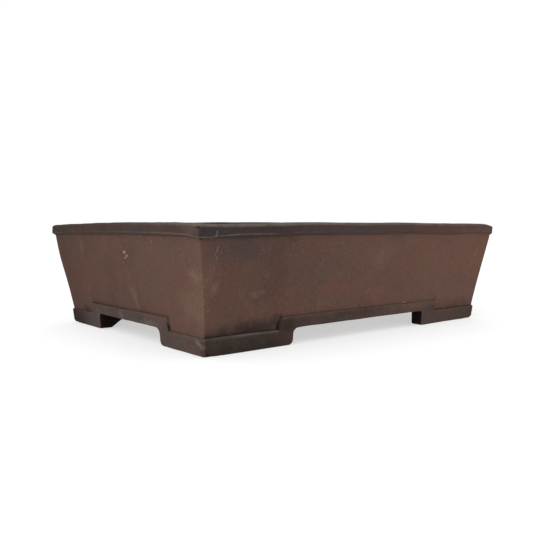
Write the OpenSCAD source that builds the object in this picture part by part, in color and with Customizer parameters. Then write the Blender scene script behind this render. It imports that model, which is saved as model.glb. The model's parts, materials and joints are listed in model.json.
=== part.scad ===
// Rectangular unglazed stoneware bonsai pot, built from clay slabs.
// Four leaning wall slabs are mitred at the corners round a floor slab. A mitred rim bar caps
// each wall. Four L-shaped feet, webbed across their inner corners, and four base band strips are
// luted on from outside, and a clay coil is smoothed into each inside seam. The origin is on the
// shelf, under the pot's centre.

/* [Pot] */
// Length over the rim
pot_l = 380; // [320:5:460]
// Width over the rim
pot_w = 273; // [240:1:330]
// Height from the shelf to the top of the rim
pot_h = 101; // [85:1:130]

/* [Walls and floor] */
// Thickness of the wall slabs, measured level
wall_t = 9; // [7:0.5:11]
// Angle by which the walls lean outwards
wall_lean = 9.5; // [5:0.5:12]
// Thickness of the floor slab
floor_t = 9; // [7:0.5:12]
// Leg of the coil that is smoothed into each inside seam
coil_leg = 7; // [4:0.5:9]

/* [Rim] */
// Height of the rim bars
rim_h = 10.5; // [8:0.5:16]
// Height of the upright outer face of the rim
rim_face_h = 8; // [5:0.5:8]
// How far the rim stands out beyond the wall below it
rim_overhang = 2.8; // [1.5:0.1:4]

/* [Feet] */
// Height of the feet
foot_h = 14; // [10:1:20]
// Thickness of a foot's legs
foot_t = 14; // [12:1:18]
// Reach of a foot along the long side, from the end of the rim
foot_reach_long = 104; // [80:1:120]
// Reach of a foot along the short side, from the end of the rim
foot_reach_short = 78; // [60:1:90]
// Run of the web in a foot's inner corner along the long leg
web_long = 38; // [10:1:50]
// Run of the web in a foot's inner corner along the short leg
web_short = 50; // [10:1:50]
// Angle by which the outer faces of the feet lean outwards
foot_lean = 4.5; // [0:0.5:8]
// Radius under the band where it meets a foot
arch_r = 5; // [2:0.5:7]
// Radius of the lower edge at the end of a leg
toe_r = 4; // [1:0.5:5]

/* [Base band] */
// Height of the band strips
band_h = 10.5; // [8:0.5:14]
// How far the band and the feet stand out from the wall
band_proud = 1.6; // [1:0.1:2.5]
// Length by which a strip laps over each foot
band_lap = 16; // [8:1:25]

/* [Drainage] */
// Radius of the two drain holes
drain_r = 16; // [12:1:20]
// Distance between the drain holes
drain_spacing = 170; // [150:5:190]
// Radius of the four holes for tie wires
tie_r = 3; // [2:0.5:4]
// Distance between the tie holes along the length
tie_spacing_x = 250; // [240:5:260]
// Distance between the tie holes along the width
tie_spacing_y = 130; // [110:5:150]

/* [Hidden] */
$fn = 96;

half_l = pot_l / 2;
half_w = pot_w / 2;
wall_top = pot_h - rim_h;
floor_top = foot_h + floor_t;
band_top = foot_h + band_h;
slope = tan(wall_lean);
corner_lean = atan(sqrt(2) * slope);  // lean of the line where two walls meet
past = 1;                             // how far a cutter runs past what it cuts

wall_colour = [0.36, 0.27, 0.24];
trim_colour = [0.29, 0.25, 0.23];
inside_colour = [0.40, 0.29, 0.25];

// Distances inwards from the outer face of the rim, at height z
function wall_outside(z) = rim_overhang + (wall_top - z) * slope;
function wall_inside(z) = wall_outside(z) + wall_t;
function band_outside(z) = wall_outside(z) - band_proud;

foot_inside = band_outside(foot_h) + foot_t;  // distance of a foot's inner faces from the rim

// Run of a foot's web along a leg of this reach, short of the rounded end of the leg
function web_run(web, reach) = min(web, reach - foot_inside - toe_r);

// ---- Sides and corners ----
// A profile holds distances inwards from the rim as X and heights as Y.

// Plan of the front side, bounded by its two mitres
module long_side_plan() {
    polygon([[-half_l, -half_w], [half_l, -half_w], [half_l - half_w, 0], [half_w - half_l, 0]]);
}

// Plan of the left side, bounded by its two mitres
module short_side_plan() {
    polygon([[-half_l, -half_w], [half_w - half_l, 0], [-half_l, half_w]]);
}

// The profile run along the front, from x = from to x = to
module along_front(from, to) {
    translate([from, -half_w, 0]) rotate([90, 0, 90]) linear_extrude(to - from) children();
}

// The profile run along the left side, from y = from to y = to
module along_left(from, to) {
    translate([-half_l, to, 0]) rotate([90, 0, 0]) linear_extrude(to - from) children();
}

module mitred_front() {
    intersection() {
        along_front(-half_l, half_l) children();
        linear_extrude(pot_h) long_side_plan();
    }
}

module mitred_left() {
    intersection() {
        along_left(-half_w, half_w) children();
        linear_extrude(pot_h) short_side_plan();
    }
}

module at_back() { mirror([0, 1, 0]) children(); }
module at_right() { mirror([1, 0, 0]) children(); }

// ---- Walls ----

module wall_profile() {
    polygon([
        [wall_outside(foot_h), foot_h],
        [wall_outside(wall_top), wall_top],
        [wall_inside(wall_top), wall_top],
        [wall_inside(foot_h), foot_h]
    ]);
}

module front_wall() { color(wall_colour) mitred_front() wall_profile(); }
module back_wall() { at_back() front_wall(); }
module left_wall() { color(wall_colour) mitred_left() wall_profile(); }
module right_wall() { at_right() left_wall(); }

// ---- Floor ----

// The space inside the walls between two heights, with its four leaning sides
module between_walls(z_low, z_high) {
    low = wall_inside(z_low);
    high = wall_inside(z_high);
    intersection() {
        along_left(-half_w, half_w) polygon([
            [low, z_low], [high, z_high], [pot_l - high, z_high], [pot_l - low, z_low]
        ]);
        along_front(-half_l, half_l) polygon([
            [low, z_low], [high, z_high], [pot_w - high, z_high], [pot_w - low, z_low]
        ]);
    }
}

module floor_hole(x, y, r) {
    translate([x, y, foot_h - past]) cylinder(r = r, h = floor_t + 2 * past);
}

module floor_slab() {
    color(inside_colour) difference() {
        between_walls(foot_h, floor_top);
        for (x = [-1, 1] * drain_spacing / 2) floor_hole(x, 0, drain_r);
        for (x = [-1, 1] * tie_spacing_x / 2, y = [-1, 1] * tie_spacing_y / 2) floor_hole(x, y, tie_r);
    }
}

// ---- Rim ----

module rim_profile() {
    polygon([
        [0, pot_h],
        [0, pot_h - rim_face_h],
        [rim_overhang, wall_top],
        [wall_inside(wall_top), wall_top],
        [wall_inside(wall_top), pot_h]
    ]);
}

module front_rim_bar() { color(trim_colour) mitred_front() rim_profile(); }
module back_rim_bar() { at_back() front_rim_bar(); }
module left_rim_bar() { color(trim_colour) mitred_left() rim_profile(); }
module right_rim_bar() { at_right() left_rim_bar(); }

// ---- Feet ----

module foot_profile() {
    outside = band_outside(foot_h);
    polygon([
        [outside + foot_h * tan(foot_lean), 0],
        [outside, foot_h],
        [foot_inside, foot_h],
        [foot_inside, 0]
    ]);
}

// Side view of a leg that ends at reach, with an arched inner corner and a rounded toe
module leg_outline(reach) {
    difference() {
        union() {
            square([reach, foot_h]);
            translate([reach, foot_h - arch_r]) difference() {
                square(arch_r);
                translate([arch_r, 0]) circle(arch_r);
            }
        }
        translate([reach - toe_r, 0]) difference() {
            translate([0, -past]) square([toe_r + past, toe_r + past]);
            translate([0, toe_r]) circle(toe_r);
        }
    }
}

module long_leg() {
    intersection() {
        along_front(-half_l, 0) foot_profile();
        translate([-half_l, half_w, 0])
            rotate([90, 0, 0])
                linear_extrude(pot_w) leg_outline(foot_reach_long);
        linear_extrude(foot_h) long_side_plan();
    }
}

module short_leg() {
    intersection() {
        along_left(-half_w, 0) foot_profile();
        translate([-half_l, -half_w, 0])
            rotate([90, 0, 90])
                linear_extrude(pot_l) leg_outline(foot_reach_short);
        linear_extrude(foot_h) short_side_plan();
    }
}

// The clay that fills the inner corner between the two legs, cut off slantwise
module corner_web() {
    end_x = foot_inside + web_run(web_long, foot_reach_long);
    end_y = foot_inside + web_run(web_short, foot_reach_short);
    root = foot_inside - past;
    translate([-half_l, -half_w, 0]) linear_extrude(foot_h) polygon([
        [root, root], [end_x, root], [end_x, foot_inside], [foot_inside, end_y], [root, end_y]
    ]);
}

module front_left_foot() {
    color(trim_colour) union() {
        long_leg();
        short_leg();
        corner_web();
    }
}
module front_right_foot() { at_right() front_left_foot(); }
module back_left_foot() { at_back() front_left_foot(); }
module back_right_foot() { at_right() back_left_foot(); }

// ---- Base band ----

module band_profile() {
    polygon([
        [band_outside(foot_h), foot_h],
        [band_outside(band_top), band_top],
        [wall_outside(band_top), band_top],
        [wall_outside(foot_h), foot_h]
    ]);
}

module front_band() {
    end = half_l - foot_reach_long + band_lap;
    color(trim_colour) along_front(-end, end) band_profile();
}
module back_band() { at_back() front_band(); }
module left_band() {
    end = half_w - foot_reach_short + band_lap;
    color(trim_colour) along_left(-end, end) band_profile();
}
module right_band() { at_right() left_band(); }

// ---- Coils in the inside seams ----

// Everything nearer to the front left corner seam than the face of its coil
module corner_seam_zone() {
    seam = wall_inside(floor_top);
    size = 2 * pot_h;
    translate([seam - half_l, seam - half_w, floor_top])
        rotate([0, 0, 45])
            translate([coil_leg / sqrt(2), 0, 0])
                rotate([0, -corner_lean, 0])
                    translate([-size, -size / 2, -size / 2]) cube(size);
}

module all_corner_seam_zones() {
    corner_seam_zone();
    at_right() corner_seam_zone();
    at_back() { corner_seam_zone(); at_right() corner_seam_zone(); }
}

module front_left_corner_coil() {
    color(inside_colour) intersection() {
        between_walls(floor_top, wall_top);
        corner_seam_zone();
    }
}
module front_right_corner_coil() { at_right() front_left_corner_coil(); }
module back_left_corner_coil() { at_back() front_left_corner_coil(); }
module back_right_corner_coil() { at_right() back_left_corner_coil(); }

module floor_coil_profile() {
    seam = wall_inside(floor_top);
    polygon([
        [seam, floor_top],
        [seam + coil_leg, floor_top],
        [wall_inside(floor_top + coil_leg), floor_top + coil_leg]
    ]);
}

module front_floor_coil() {
    color(inside_colour) difference() {
        mitred_front() floor_coil_profile();
        all_corner_seam_zones();
    }
}
module back_floor_coil() { at_back() front_floor_coil(); }
module left_floor_coil() {
    color(inside_colour) difference() {
        mitred_left() floor_coil_profile();
        all_corner_seam_zones();
    }
}
module right_floor_coil() { at_right() left_floor_coil(); }

floor_slab();
front_wall();
back_wall();
left_wall();
right_wall();
front_rim_bar();
back_rim_bar();
left_rim_bar();
right_rim_bar();
front_left_foot();
front_right_foot();
back_left_foot();
back_right_foot();
front_band();
back_band();
left_band();
right_band();
front_floor_coil();
back_floor_coil();
left_floor_coil();
right_floor_coil();
front_left_corner_coil();
front_right_corner_coil();
back_left_corner_coil();
back_right_corner_coil();
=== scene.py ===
import json
import math

import bpy
import numpy as np
from mathutils import Matrix, Vector
from mathutils.geometry import delaunay_2d_cdt


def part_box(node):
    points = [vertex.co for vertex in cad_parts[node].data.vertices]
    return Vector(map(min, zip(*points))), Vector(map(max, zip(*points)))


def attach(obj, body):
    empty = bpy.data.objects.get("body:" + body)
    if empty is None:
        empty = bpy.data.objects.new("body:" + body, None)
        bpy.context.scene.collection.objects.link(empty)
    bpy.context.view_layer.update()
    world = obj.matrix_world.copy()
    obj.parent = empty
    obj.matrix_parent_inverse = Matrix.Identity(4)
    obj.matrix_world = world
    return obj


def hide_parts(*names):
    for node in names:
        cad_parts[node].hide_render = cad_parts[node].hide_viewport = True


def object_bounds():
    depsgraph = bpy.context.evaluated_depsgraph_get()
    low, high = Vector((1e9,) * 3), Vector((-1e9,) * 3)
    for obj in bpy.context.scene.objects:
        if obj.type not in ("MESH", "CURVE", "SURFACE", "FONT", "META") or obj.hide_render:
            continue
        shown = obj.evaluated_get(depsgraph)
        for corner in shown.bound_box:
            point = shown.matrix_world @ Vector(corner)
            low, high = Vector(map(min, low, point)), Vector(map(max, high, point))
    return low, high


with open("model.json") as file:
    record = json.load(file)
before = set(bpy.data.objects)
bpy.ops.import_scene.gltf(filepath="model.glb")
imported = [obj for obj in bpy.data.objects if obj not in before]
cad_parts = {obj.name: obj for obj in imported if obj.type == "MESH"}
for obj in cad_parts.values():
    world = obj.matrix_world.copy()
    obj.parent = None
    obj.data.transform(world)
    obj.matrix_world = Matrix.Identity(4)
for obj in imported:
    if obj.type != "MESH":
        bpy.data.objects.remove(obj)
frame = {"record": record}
cad_low, cad_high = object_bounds()

# A slab-built bonsai pot of unglazed stoneware. Each slab, bar, strip, foot and coil is a closed
# block of clay with softened edges. One shared field of small bends runs through all of them,
# so that neighbours stay joined. Lengths are in metres.
MM = 0.001

# ---- Measures taken from the frame ----

half_l, half_w, pot_h = cad_high.x, cad_high.y, cad_high.z
wall_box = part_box("front_wall")
rim_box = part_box("front_rim_bar")
foot_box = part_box("front_left_foot")
coil_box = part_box("front_floor_coil")
floor_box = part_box("floor_slab")

foot_h = foot_box[1].z
wall_top = wall_box[1].z
floor_top = floor_box[1].z
band_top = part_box("front_band")[1].z
rim_overhang = half_w + wall_box[0].y
wall_t = half_w + rim_box[1].y - rim_overhang
slope = (half_w + wall_box[1].y - wall_t - rim_overhang) / (wall_top - foot_h)
band_proud = wall_box[0].y + (wall_top - band_top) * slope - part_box("front_band")[0].y
coil_leg = coil_box[1].z - coil_box[0].z
foot_t = 14 * MM
foot_reach = {"long": foot_box[1].x + half_l - 5 * MM, "short": foot_box[1].y + half_w - 5 * MM}
band_end = {"long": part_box("front_band")[1].x, "short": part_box("left_band")[1].y}
rim_face_h = 8 * MM

# ---- Choices of shape ----

SIDES = ("front", "right", "back", "left")
STEP = 1.5 * MM             # length of a mesh cell along a side
ARC_STEPS = 9               # mesh cells in an eighth of a turn round a corner
WALL_CORNER_R = 1.6 * MM    # rounding of the upright corners, seen from above
RIM_CORNER_R = 2.2 * MM
INSIDE_CORNER_R = 8.0 * MM
RIM_ARRIS_R = 0.9 * MM      # rounding of the lower edge of the rim's face
RIM_EDGE_R = 2.0 * MM       # rounding of its upper edge
RIM_LIP_R = 1.6 * MM        # rounding of the rim's inner edge
FOOT_LEAN_EASE = 1.1 * MM   # how far a foot's sole stands out from the line of the band
FOOT_EDGE_R = 1.8 * MM
SOLE_EDGE_R = FOOT_EDGE_R * 0.8
FOOT_END_R = 1.3 * MM
BAND_EDGE_R = 0.9 * MM
BAND_END_R = 2.0 * MM       # rounding of a strip's upper corners, seen from its side
SEAM_R = 0.05 * MM          # rounding of an edge that is luted flush to its neighbour
WEB = {"long": 38 * MM, "short": 50 * MM}   # runs of the web in a foot's inner corner
FLOOR_CELL = 3.2 * MM       # length of a mesh cell of the floor
HOLE_LIP = 1.6 * MM         # rounding of the holes' edges

# Each foot, in mm: radius of the arch under the band, of the toe, of the corner and of the sole's
# edge at the corner, and how far its legs along the long and the short side pass their nominal reach
FEET = {
    "front_left": {"arch": 5, "toe": 5, "corner": 2, "sole": 2, "long": 1.6, "short": 4.6},
    "front_right": {"arch": 3, "toe": 2.5, "corner": 2.2, "sole": 3.8, "long": -0.5, "short": 1.5},
    "back_right": {"arch": 4.5, "toe": 3.5, "corner": 2.6, "sole": 2, "long": 0.6, "short": -1.4},
    "back_left": {"arch": 2.4, "toe": 2.4, "corner": 2.4, "sole": 3, "long": -0.9, "short": 1},
}
# The side whose last end, and the side whose first end, meet at each corner
CORNERS = {
    "front_left": ("left", "front"), "front_right": ("front", "right"),
    "back_right": ("right", "back"), "back_left": ("back", "left"),
}
# Each band strip, in mm: how far its first and last ends, walking round the pot anticlockwise as
# seen from above, reach beyond their nominal place
BANDS = {"front": (-1.7, 5.5), "right": (1.5, 0.4), "back": (2.2, -1.2), "left": (-2, -3.8)}
# How far the fired rim has crept from level at its corners and in the middle of its sides, in mm
RIM_CREEP = {
    "front_left": 1.2, "front_right": 0.3, "back_right": 1, "back_left": -1.6,
    "front": 1.6, "right": 1.5, "back": 1.9, "left": 1.8,
}
# Places where the rim was knocked down or pushed up: x, y, a radius in plan and a depth, in mm
KNOCKS = [
    (190, -136, 11, 1.8), (-190, 136, 4, 0.5), (-158, -136, 20, 0.6), (-190, -105, 16, -0.5),
    (40, 136, 18, 0.5),
]
# How far the joint of the strips with the feet, and the strips' upper edges, lie above their nominal
# height, in mm
STRIP_RISE = {
    "left": [(-136, -0.6), (-80, 0.2), (-60, 0.9), (55, 1.4), (75, 0.6), (100, 0.6), (136, 1.3)],
    "front": [(-190, 1.3), (-100, 0.7), (-70, 0.7), (0, 0.8), (90, 1.2), (120, -0.1), (190, -0.4)],
    "right": [(-136, 0), (-60, 0.6), (60, 0.9), (136, 0.3)],
    "back": [(-190, 0.3), (-60, 0.9), (40, 0.2), (190, -0.2)],
}
UPPER_RISE = {
    "left": [(-136, -0.4), (-80, -0.4), (0, 0.7), (66, 1.8), (136, 1.3)],
    "front": [(-190, 1.3), (-100, 0.8), (0, 0.6), (190, -0.1)],
    "right": [(-136, 0.3), (0, 0.8), (136, 0.4)],
    "back": [(-190, 0.4), (0, 0), (190, 0)],
}
# How far the lower edge of the rim's face was smeared down, in mm
ARRIS_DROP = {
    "left": [(-136, 0), (88, 0), (116, 0.8), (136, 2.2)],
    "front": [(-190, 2.3), (-179, 2.2), (-170, 1.1), (-160, 0.1), (-150, -0.5), (-130, 0), (190, 0.1)],
    "right": [(-136, 0.1), (0, 0.5), (136, 0.2)],
    "back": [(-190, 0.2), (-60, -0.3), (60, 0.5), (190, 0)],
}
# Dents from handling: side, distance along it from its middle (anticlockwise), height, radius and
# depth, in mm
DENTS = [
    ("front", -101, 17, 3, 0.7), ("left", 69, 16, 2.4, 0.6), ("front", -189.4, 100.4, 1.5, 1.1),
    ("left", 12, 75, 4, 0.35), ("front", -150, 66, 9, 0.25), ("front", 107, 20, 3, 0.4),
    ("left", 120, 9, 5, 0.35), ("left", -88, 17, 4, 0.4), ("front", 58, 25, 4, 0.3),
    ("right", -136, 102, 8, 0.9), ("front", 190, 102, 8, 0.7), ("right", -136, 93, 4, 0.9),
    ("front", 190, 93, 4, 0.8), ("left", -132, 68, 32, -0.9), ("back", 186, 68, 32, -0.9),
    ("right", -117, 7, 6, -0.9), ("front", -173, 7, 8, 1.6), ("left", 120, 7, 8, -0.6),
]


def wall_outside(z):
    """Distance of the walls' outer face from the plane of the rim's outer face."""
    return rim_overhang + (wall_top - z) * slope


def wall_inside(z):
    return wall_outside(z) + wall_t


def base_outside(z):
    """The one face that a band strip and the foot below it share."""
    below = np.clip((foot_h - z) / foot_h, 0, 1)
    return wall_outside(z) - band_proud - FOOT_LEAN_EASE * below ** 1.5


# ---- Bends of the whole pot ----

def ripple(points, seed, shortest, longest, height, count=14):
    """Smooth random shifts of the points, as a sum of waves of the given lengths."""
    rng = np.random.default_rng(seed)
    heading = rng.normal(size=(count, 3))
    heading /= np.linalg.norm(heading, axis=1, keepdims=True)
    push = rng.normal(size=(count, 3))
    push /= np.linalg.norm(push, axis=1, keepdims=True)
    turns = points @ (heading / rng.uniform(shortest, longest, (count, 1))).T
    phase = rng.uniform(0, 1, count)
    return height * math.sqrt(2 / count) * np.sin(2 * math.pi * (turns + phase)) @ push


def rim_creep(x, y):
    """Height that the rim has crept at a place in plan."""
    u, v = x / half_l, y / half_w
    near = {"front": (1 - v) / 2, "right": (1 + u) / 2, "back": (1 + v) / 2, "left": (1 - u) / 2}
    creep = 0
    for corner in CORNERS:
        end, other_end = corner.split("_")
        creep = creep + RIM_CREEP[corner] * near[end] * near[other_end]
    for side in SIDES:
        ends = [RIM_CREEP[corner] for corner, pair in CORNERS.items() if side in pair]
        way = u if kind(side) == "long" else v
        sag = RIM_CREEP[side] - sum(ends) / 2
        creep = creep + sag * near[side] * np.clip(1 - way * way, 0, 1)
    return creep * MM


def along(side, grid):
    """Distance along the side of each grid point."""
    return {
        "front": grid[..., 0], "right": grid[..., 1], "back": -grid[..., 0], "left": -grid[..., 1],
    }[side]


def read_along(table, s):
    """The table's value at distances s along the side, in metres."""
    places, values = zip(*table)
    return np.interp(s / MM, places, values)


def round_the_pot(tables, points):
    """Values of the sides' tables at points, each side counting for more the nearer it is."""
    total, weights = 0, 0
    for side, table in tables.items():
        away = {
            "front": points[..., 1] + half_w, "right": half_l - points[..., 0],
            "back": half_w - points[..., 1], "left": points[..., 0] + half_l,
        }[side]
        weight = 1 / (np.abs(away) + 3 * MM) ** 3
        total = total + weight * read_along(table, along(side, points))
        weights = weights + weight
    return total / weights


def base_rise(points):
    """Height by which the strips' edges have crept, at the height of each point."""
    z = points[..., 2]
    at_joint = np.interp(z, [0, foot_h - 4 * MM, foot_h, band_top], [0, 0.4, 1, 0])
    at_top = np.interp(z, [foot_h, band_top, band_top + 22 * MM], [0, 1, 0])
    rise = round_the_pot(STRIP_RISE, points) * at_joint + round_the_pot(UPPER_RISE, points) * at_top
    return rise * MM


def knocked(points):
    """Depth by which the rim was knocked down."""
    depth = 0
    for x, y, radius, deep in KNOCKS:
        away = np.hypot(points[..., 0] / MM - x, points[..., 1] / MM - y) / radius
        depth = depth + deep * MM * np.exp(-away ** 2)
    return depth


def all_dents():
    """The listed dents, and small ones at random on every side."""
    rng = np.random.default_rng(17)
    dents = list(DENTS)
    for side in SIDES:
        reach = half_length(side) / MM - 12
        for _ in range(12):
            s, z = rng.uniform(-reach, reach), rng.uniform(18, 88)
            dents.append((side, s, z, rng.uniform(3, 8), rng.uniform(0.05, 0.2)))
    return dents


def dented(points):
    """Shifts of the points by the dents."""
    shift = np.zeros_like(points)
    for side, s, z, radius, depth in all_dents():
        face = 0 if z * MM > wall_top else wall_outside(z * MM)
        centre = place(side, s * MM, face, z * MM)
        inwards = place(side, 0, 1, 0) - place(side, 0, 0, 0)
        fall = np.exp(-(((points - centre) / (radius * MM)) ** 2).sum(axis=-1))
        shift += depth * MM * fall[..., None] * inwards
    return shift


def bend(points):
    """Moves points as the drying and firing of the whole pot did. The soles stay level."""
    shift = ripple(points, 3, 90 * MM, 200 * MM, 0.55 * MM)
    shift += ripple(points, 5, 22 * MM, 60 * MM, 0.16 * MM)
    shift += ripple(points, 8, 7 * MM, 16 * MM, 0.045 * MM, 40)
    shift += dented(points)
    height = points[..., 2]
    shift[..., 2] *= np.clip(height / foot_h, 0, 1)
    climb = np.clip((height - band_top) / (pot_h - band_top), 0, 1) ** 1.4
    shift[..., 2] += (rim_creep(points[..., 0], points[..., 1]) - knocked(points)) * climb
    shift[..., 2] += base_rise(points)
    return points + shift


# ---- Blocks of clay ----
# A block is a grid of points. Its first axis runs inwards through the clay, its second up and its
# third along the side, anticlockwise round the pot as seen from above.

def block_faces(shape):
    """Numbers of the grid's surface points, and the outward quads between them."""
    surface = np.ones(shape, bool)
    surface[1:-1, 1:-1, 1:-1] = False
    number = np.full(shape, -1)
    number[surface] = np.arange(surface.sum())
    quads = []

    def add(sheet, flip):
        a, b, c, d = sheet[:-1, :-1], sheet[1:, :-1], sheet[1:, 1:], sheet[:-1, 1:]
        order = (a, d, c, b) if flip else (a, b, c, d)
        quads.append(np.stack(order, axis=-1).reshape(-1, 4))

    add(number[0].T, False)
    add(number[-1].T, True)
    add(number[:, 0, :], False)
    add(number[:, -1, :], True)
    add(number[:, :, 0].T, False)
    add(number[:, :, -1].T, True)
    return surface, np.concatenate(quads)


def mesh_piece(name, points, faces, node, slot, marks):
    """A closed smooth mesh that stands for a CAD node. marks are its point attributes."""
    mesh = bpy.data.meshes.new(name)
    mesh.from_pydata(points.tolist(), [], faces)
    mesh.update()
    for label, values in marks.items():
        made = mesh.attributes.new(label, "FLOAT", "POINT")
        made.data.foreach_set("value", values.astype(np.float32))
    mesh.shade_smooth()
    mesh.set_sharp_from_angle(angle=math.radians(50))
    piece = bpy.data.objects.new(name, mesh)
    bpy.context.scene.collection.objects.link(piece)
    piece.data.materials.append(MATERIALS[slot])
    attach(piece, "root")
    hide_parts(node)


def block_piece(name, grid, node, slot, **marks):
    """The piece whose surface is the grid's, bent like the pot. marks are numbers or grids of them."""
    shown, quads = block_faces(grid.shape[:3])
    full = {k: np.broadcast_to(v, grid.shape[:3])[shown] for k, v in marks.items()}
    mesh_piece(name, bend(grid[shown]), quads.tolist(), node, slot, full)


def place(side, s, u, z):
    """Points of a side in the pot's frame: s along it, u inwards from the rim's face, z up."""
    s, u, z = np.broadcast_arrays(s, u, z)
    x, y = {
        "front": (s, u - half_w),
        "right": (half_l - u, s),
        "back": (-s, half_w - u),
        "left": (u - half_l, -s),
    }[side]
    return np.stack([x, y, z], axis=-1)


def half_length(side):
    return half_l if side in ("front", "back") else half_w


def strip_ends(side):
    """Distances along the side of the first and last ends of its band strip."""
    first, last = BANDS[side]
    end = band_end[kind(side)]
    return -end - first * MM, end + last * MM


def kind(side):
    """Whether the side is one of the pot's long or its short ones."""
    return "long" if side in ("front", "back") else "short"


# ---- Outlines ----

def rounded(corners, step):
    """Points along an open line of (u, z, radius) corners, with an arc at each one."""
    line = [np.array(corners[0][:2])]
    worn = [0.0]
    for before, here, after in zip(corners, corners[1:], corners[2:]):
        b, h, a = (np.array(c[:2]) for c in (before, here, after))
        back, on = (b - h) / np.linalg.norm(b - h), (a - h) / np.linalg.norm(a - h)
        half_angle = math.acos(np.clip(back @ on, -1, 1)) / 2
        radius = here[2]
        reach = radius / math.tan(half_angle)
        centre = h + (back + on) / np.linalg.norm(back + on) * radius / math.sin(half_angle)
        start, end = h + back * reach - centre, h + on * reach - centre
        turn = math.pi - 2 * half_angle
        count = max(3, round(turn / math.radians(11)))
        for i in range(count + 1):
            t = i / count
            mix = (math.sin((1 - t) * turn) * start + math.sin(t * turn) * end) / math.sin(turn)
            line.append(centre + mix)
            worn.append(math.sin(math.pi * (0.15 + 0.7 * t)))
    line.append(np.array(corners[-1][:2]))
    worn.append(0.0)
    points, wear = [line[0]], [worn[0]]
    for a, b, wa, wb in zip(line, line[1:], worn, worn[1:]):
        count = max(1, math.ceil(np.linalg.norm(b - a) / step))
        for i in range(1, count + 1):
            points.append(a + (b - a) * i / count)
            wear.append(wa + (wb - wa) * i / count if count < 3 else (wb if i == count else 0.0))
    return np.array(points), np.array(wear)


def mitred(side, outer, inner, r_out, r_in, cells=4):
    """Grid of a bar that runs the whole side, cut at 45 degrees at both ends. outer and inner are
    (u, z) lines of the same length, and r_out and r_in its corner radii in plan."""
    half = half_length(side)
    k = np.linspace(0, 1, cells + 1)[:, None]
    u = outer[:, 0] * (1 - k) + inner[:, 0] * k
    z = outer[:, 1] * (1 - k) + inner[:, 1] * k
    r = r_out * (1 - k) + r_in * k + 0 * u
    theta = np.linspace(math.pi / 4, 0, ARC_STEPS + 1)
    straight = np.linspace(-1, 1, round(2 * half / STEP) + 1)[1:-1]
    u, z, r = (v[..., None] for v in (u, z, r))
    run = half - u - r
    s = np.concatenate([
        -run - r * np.sin(theta), run * straight, run + r * np.sin(theta[::-1])
    ], axis=-1)
    inward = np.concatenate([
        r * (1 - np.cos(theta)), 0 * run * straight, r * (1 - np.cos(theta[::-1]))
    ], axis=-1)
    return place(side, s, u + inward, z + 0 * s)


# ---- Tones, wear, and painted light and shade ----
# Each list holds (distance along the side from its middle, anticlockwise and in mm, value).

# Brightness along each side, on the walls, the rim, and the feet with their band: partly the fired
# clay's own tone, and partly painted light and shade that vary round the pot
TINT = {
    "wall": {
        "left": [(-136, 0.55), (-90, 0.73), (0, 0.88), (90, 0.97), (136, 1.02)],
        "front": [(-190, 0.84), (-120, 0.88), (0, 1), (190, 1.1)],
        "right": [(-136, 1), (0, 0.92), (136, 0.98)],
        "back": [(-190, 0.96), (0, 1.02), (190, 0.9)],
    },
    "rim": {
        "left": [(-136, 0.7), (0, 0.85), (136, 1.02)],
        "front": [(-190, 0.68), (-125, 0.76), (0, 1), (190, 1.2)],
        "right": [(-136, 1.1), (136, 0.9)],
        "back": [(-190, 0.9), (0, 1.05), (190, 0.9)],
    },
    "base": {
        "left": [(-136, 0.36), (-100, 0.42), (-75, 1), (0, 1.1), (100, 1.1), (136, 1.02)],
        "front": [(-190, 0.62), (-110, 0.6), (-60, 0.82), (60, 1.04), (110, 1), (190, 0.8)],
        "right": [(-136, 0.95), (0, 0.8), (136, 0.9)],
        "back": [(-190, 0.9), (0, 1), (190, 0.8)],
    },
}
# How pale handling has left each wall along its upright corners
EDGE_WEAR = {"left": 0.75, "front": 0.35, "right": 0.6, "back": 0.6}
# Painted highlight on the rounded top edge and across the flat top of the rim, where light from above
# falls
RIM_TOP = {
    "left": [(-136, 0), (20, 0.2), (100, 0.9), (136, 1.5)],
    "front": [(-190, 1.6), (-140, 1.4), (0, 1.2), (190, 0.7)],
    "right": [(-136, 0.5), (136, 0.6)],
    "back": [(-190, 0.6), (0, 0.3), (190, 0.5)],
}
# How much paler the lower edge of the rim's face is made
RIM_ARRIS = {
    "left": [(-136, 0.25), (40, 0.4), (136, 0.9)],
    "front": [(-190, 1), (-160, 0.8), (-125, 0.8), (-110, 0.15), (190, 0.05)],
    "right": [(-136, 0.4), (136, 0.6)],
    "back": [(-190, 0.6), (190, 0.4)],
}
# Painted highlight along the upper edges of the base band and the feet, where light from above falls
BASE_WEAR = {
    "left": [(-136, 0.3), (66, 0.4), (80, 0.5), (136, 0.7)],
    "front": [(-190, 0.8), (-160, 0.9), (-145, 1.4), (-104, 1.4), (-95, 0.8), (100, 0.4), (190, 0.6)],
    "right": [(-136, 0.6), (136, 0.6)],
    "back": [(-190, 0.6), (190, 0.6)],
}
# How dark the crease above the base band and the feet is made, as dirt and painted shade
CREASE = {
    "front": [
        (-190, 0.5), (-170, 1.4), (-101, 1.4), (-96, 0.2), (0, 0.15), (60, 0.1), (102, 0.05),
        (108, 1.1), (190, 0.9),
    ],
    "left": [
        (-136, 0.4), (-90, 0.4), (-80, 0.8), (0, 0.6), (66, 0.3), (72, 0.4), (125, 0.2), (136, 0.5),
    ],
    "right": [(-136, 0.7), (0, 0.4), (136, 0.8)],
    "back": [(-190, 0.6), (-40, 0.8), (60, 0.4), (190, 0.7)],
}


# ---- Walls ----

def wall_heights():
    """Heights of a wall's points, closer together where the foot, the band and the rim meet it."""
    heights = [foot_h]
    while heights[-1] < wall_top:
        near = any(abs(heights[-1] - met) < 2.4 * MM for met in (foot_h, band_top, wall_top))
        heights.append(heights[-1] + (0.3 if near else 1.6) * MM)
    heights[-1] = wall_top
    return np.array(heights)


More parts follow.
